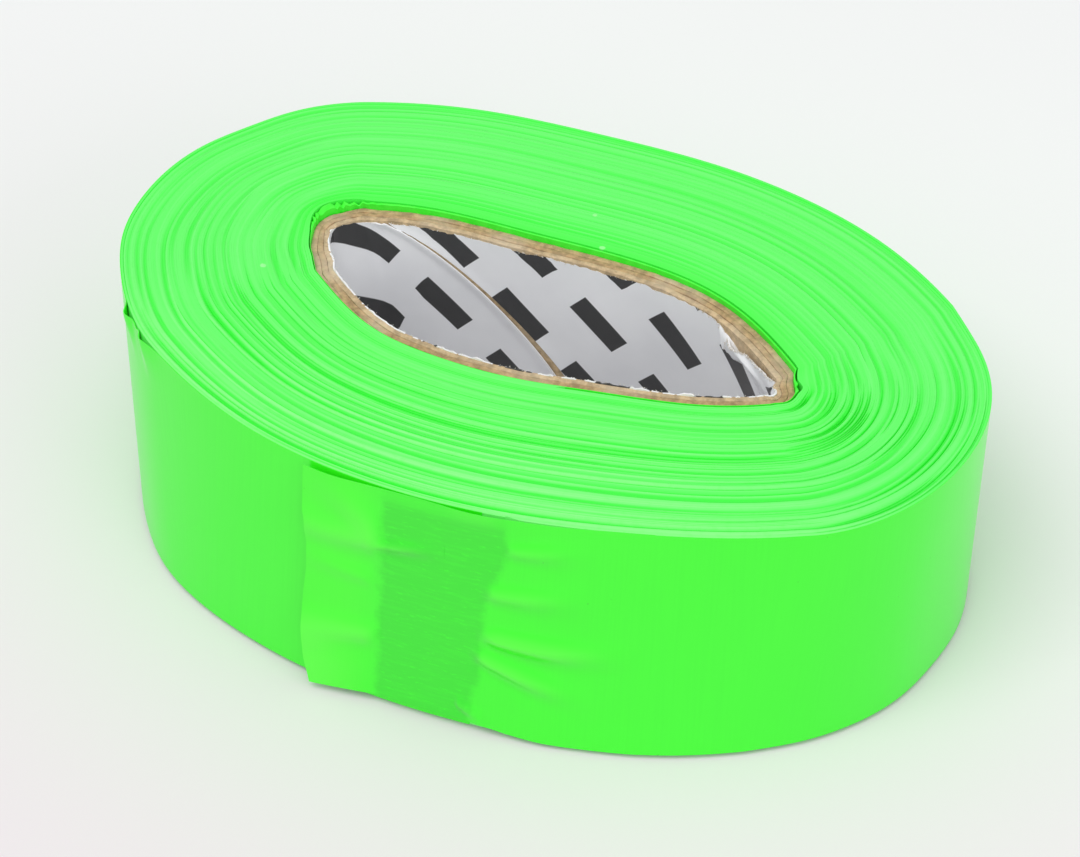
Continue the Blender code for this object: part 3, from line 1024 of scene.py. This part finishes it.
def make_crumpled_start(film):
    """First turns of film, pressed into pleats where they stand off the core's two ends."""
    normals = even_normals(1700, FIRST_TURN_OFFSET)
    gone = travelled_along(TOP_OVAL.points(normals) + FIRST_TURN_OFFSET * outward(normals))
    slack = core_slack(normals)
    pleated = ease((slack - 0.25 * MM) / (0.5 * MM))
    waves = gone / (1.05 * MM) + 0.9 * wander(gone / (1.7 * MM), 71)
    zigzag = np.arcsin(0.96 * np.sin(FULL_TURN * waves)) / 1.5
    swing = 0.46 * MM * pleated * (1 + 0.5 * wander(gone / (1.3 * MM), 72))
    inner = CORE_OUTSIDE + 0.25 * swing * (1 + zigzag)
    outer = 2.2 * MM + 0.94 * slack - 0.5 * swing * (1 - zigzag)
    folded = 0.14 * (1 - zigzag) + 0.2 * wander(gone / (0.5 * MM), 73)
    crest = TAPE_WIDTH - 0.1 * MM - pleated * folded * MM
    start = ring_piece("crumpled_first_turns", normals, inner, outer, 22 * MM, crest, film)


# Paper core


def make_plies():
    layers = (
        ("inner_kraft_ply", "core_inner_ply", -0.18, 0.56, (198, 174, 138), 31),
        ("middle_kraft_ply", "core_middle_ply", 0.6, 1.31, (184, 156, 116), 33),
        ("outer_kraft_ply", "core_outer_ply", 1.35, 2.1, (190, 162, 122), 35),
    )
    around = even_normals(PLY_POINTS, FIRST_TURN_OFFSET)
    count = np.arange(PLY_POINTS)
    for name, node, inner, outer, tone, seed in layers:
        rough = 0.07 * MM * (wander(count / 1.7, seed) + 0.8 * wander(count / 9.0, seed + 1))
        paper = kraft_material(name + "_board", tone)
        piece = ring_piece(name, around, inner * MM, outer * MM, CORE_FOOT, CORE_TOP + rough, paper)
        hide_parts(node)


def liner_spots(share, heights):
    """Points of the liner's inner face, and their lengths along it and depths, from seam to seam."""
    _, around = bore_normals(np.zeros(1))
    below = CORE_TOP - heights
    gap = 0.3 * MM + 0.055 * below
    along_top = gap / 2 + share * (around - gap)
    lengths = below * SEAM_RUN - below**2 * SEAM_BEND + along_top
    normals, _ = bore_normals(lengths)
    # Near the sharp end the strip hangs loose at the top, with a tear beside the loose stretch
    loose = ease((along_top - LOOSE_START) / (2.5 * MM)) * ease((LOOSE_END - along_top) / (4 * MM))
    upper = ease((heights - 20 * MM) / (10 * MM))
    curl = bell(along_top - TEAR_PLACE - 2.6 * MM, 1.5 * MM) * ease((heights - 25 * MM) / (5 * MM))
    lifted = 0.35 * MM * bell(share - 1.0, 0.012) + 0.12 * MM * bell(share, 0.01)
    offsets = LINER_FACE - 0.55 * MM * loose * upper - 0.9 * MM * curl - lifted
    frayed = ease((heights - 24 * MM) / (5.4 * MM)) ** 3
    sunk = 0.45 * np.maximum(np.sin(normals), 0)
    ragged = 0.14 * wander(lengths / (0.45 * MM), 51) + 0.12 * wander(lengths / (2.3 * MM), 52)
    torn = 0.4 * loose * (1 + wander(lengths / (1.3 * MM), 53))
    torn = torn + 2.6 * bell(along_top - TEAR_PLACE, 0.7 * MM)
    heights = heights + frayed * (ragged - torn - sunk) * MM
    return wall_points(normals, offsets, heights), lengths, below


def make_liner(paper):
    """White liner strip: one turn that starts and ends at its slanting seam."""
    share, upward = unit_grid(420, 56)
    heights = CORE_FOOT + (LINER_TOP - CORE_FOOT) * (1 - (1 - upward) ** 1.5)
    spots, lengths, below = liner_spots(share, heights)
    slant = 1 / math.hypot(1, PRINT_SLANT)
    along = (lengths * PRINT_SLANT + below) * slant
    across = (lengths - below * PRINT_SLANT) * slant
    maps = np.stack([along / BAR_STEP, across / ROW_STEP], -1)
    liner = sheet_piece("liner_strip", spots, maps, "liner_map", LINER_THICKNESS, paper, -1.0)
    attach(liner, "roll")
    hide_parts("core_liner")


def fray_tree():
    """Tree that sets a short tapering paper fibre on every point, turned and sized at random."""
    inputs = {"Float": ("Fibre Length", "Fibre Width", "Lean"), "Int": ("Seed",), "Material": ("Paper",)}
    tree, given = new_tree("fray_liner_edge", inputs)
    lean = given["Lean"]
    shape = {
        "Vertices": 4,
        "Side Segments": 1,
        "Fill Segments": 1,
        "Radius Top": given["Fibre Width"] * 0.2,
        "Radius Bottom": given["Fibre Width"] * 0.5,
        "Depth": given["Fibre Length"],
    }
    back = lean * -1.0
    least = add_node(tree, "ShaderNodeCombineXYZ", {"X": back, "Y": back, "Z": 0.0})
    most = add_node(tree, "ShaderNodeCombineXYZ", {"X": lean, "Y": lean, "Z": 6.28})
    turned = {0: least, 1: most, "Seed": given["Seed"]}
    sized = {2: 0.35, 3: 1.3, "Seed": given["Seed"]}
    placed = {
        "Points": given["Mesh"],
        "Instance": add_node(tree, "GeometryNodeMeshCone", shape),
        "Rotation": add_node(tree, "FunctionNodeRandomValue", turned, data_type="FLOAT_VECTOR"),
        "Scale": add_node(tree, "FunctionNodeRandomValue", sized, 1, data_type="FLOAT"),
    }
    close_tree(tree, add_node(tree, "GeometryNodeInstanceOnPoints", placed), given["Paper"])
    return tree


def make_frayed_edge(paper):
    """White paper fibres along the liner's cut top edge, thickest where it is torn."""
    roll = np.random.default_rng(17)
    even = roll.uniform(0.002, 0.998, 380)
    _, around = bore_normals(np.zeros(1))
    at_tear = np.clip(roll.normal((TEAR_PLACE + 3 * MM) / around, 0.03, 420), 0.002, 0.998)
    share = np.concatenate([even, at_tear])
    spots, _, _ = liner_spots(share, np.full_like(share, LINER_TOP))
    spots = spots + roll.normal(0, 0.06 * MM, spots.shape)
    mesh = new_mesh("liner_edge", spots)
    values = {"Fibre Length": 0.17 * MM, "Fibre Width": 0.1 * MM, "Lean": 1.5, "Seed": 9, "Paper": paper}
    fray = grow("frayed_liner_edge", mesh, fray_tree(), values, paper)
    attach(fray, "roll")


# Glue


def make_glue(glue):
    """Thin dabs that hold the film's two ends, uneven at their edges."""
    share, upward = unit_grid(60, 60)
    maps = np.stack([share, upward], -1)
    heights = 1.6 * MM + 27 * MM * upward
    right_edge = 1.1 * MM + 1.6 * MM * ease((0.62 - upward) / 0.2) + 1.5 * MM * ease((0.3 - upward) / 0.3)
    right_edge = right_edge + 0.3 * MM * wander(upward * 17, 61)
    left_edge = 13.6 * MM + 0.15 * MM * wander(upward * 13, 62)
    lengths = right_edge + (left_edge - right_edge) * share
    lumps = 0.02 * MM * wander_over(lengths / (1.1 * MM), heights / (0.7 * MM), 63)
    spots = film_points(lengths, PATCH_OFFSET + lumps, heights)
    patch = sheet_piece("glue_patch", spots, maps, "glue_map", PATCH_THICKNESS, glue, 1.0)
    dab_normals = TAPE_END_NORMAL - (0.1 + 7.5 * share) * MM / (TOP_OVAL.front[2] + FIRST_TURN_OFFSET)
    spots = wall_points(dab_normals, np.full_like(share, CORE_OUTSIDE), heights)
    dab = sheet_piece("core_glue_dab", spots, maps, "glue_map", DAB_THICKNESS, glue, 1.0)
    for piece, node in ((patch, "end_adhesive"), (dab, "start_adhesive")):
        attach(piece, "roll")
        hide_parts(node)


# Scene


def make_table():
    corners = [(x * TABLE_HALF, y * TABLE_HALF, 0) for x, y in ((-1, -1), (1, -1), (1, 1), (-1, 1))]
    mesh = new_mesh("table_top", corners, [(0, 1, 2, 3)])
    mesh.materials.append(table_material())
    floor = add_object("table_top", mesh)
    floor.location = (0, 0, -TABLE_DROP)


def aim(thing, place, target):
    thing.location = place
    thing.rotation_euler = (Vector(target) - Vector(place)).to_track_quat("-Z", "Y").to_euler()


def make_camera():
    camera = add_object("camera", bpy.data.cameras.new("camera"))
    camera.data.sensor_width = SENSOR_WIDTH
    camera.data.lens = FOCAL_PIXELS / PHOTO_WIDTH * SENSOR_WIDTH
    camera.data.clip_start = 0.01
    shift = Vector((*ROLL_SHIFT, 0))
    aim(camera, Vector(CAMERA_PLACE) + shift, Vector(CAMERA_AIM) + shift)
    bpy.context.scene.camera = camera


def make_light(name, place, size, power):
    lamp = bpy.data.lights.new(name, "AREA")
    lamp.shape = "RECTANGLE"
    lamp.size, lamp.size_y = size
    lamp.energy = power
    aim(add_object(name, lamp), place, LIGHT_AIM)


def make_lighting():
    world = bpy.data.worlds.new("studio")
    bpy.context.scene.world = world
    world.use_nodes = True
    background = world.node_tree.nodes["Background"]
    background.inputs["Color"].default_value = (1.0, 1.0, 1.0, 1.0)
    background.inputs["Strength"].default_value = SKY_STRENGTH
    make_light("overhead_softbox", (-0.1, -0.42, 0.95), (0.8, 0.6), OVERHEAD_POWER)
    make_light("right_softbox", (0.88, -0.48, 0.5), (0.7, 0.6), RIGHT_POWER)
    bpy.context.scene.view_settings.view_transform = "Standard"


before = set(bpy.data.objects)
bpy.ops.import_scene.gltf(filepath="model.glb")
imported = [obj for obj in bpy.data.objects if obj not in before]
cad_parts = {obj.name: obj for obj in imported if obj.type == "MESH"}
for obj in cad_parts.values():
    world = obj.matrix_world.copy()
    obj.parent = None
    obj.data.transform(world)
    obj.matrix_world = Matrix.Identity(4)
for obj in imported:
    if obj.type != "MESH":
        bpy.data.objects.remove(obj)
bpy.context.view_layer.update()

make_camera()
make_lighting()
make_table()

green_film = film_side_material()
glued_film = glued_film_material()
make_winding(film_edge_material())
make_outer_wrap(green_film)
make_crumpled_start(crumpled_film_material())
make_lap_film(glued_film)
make_pull_tab(glued_film)
make_plies()
make_liner(liner_material())
make_frayed_edge(torn_paper_material())
make_glue(glue_material())
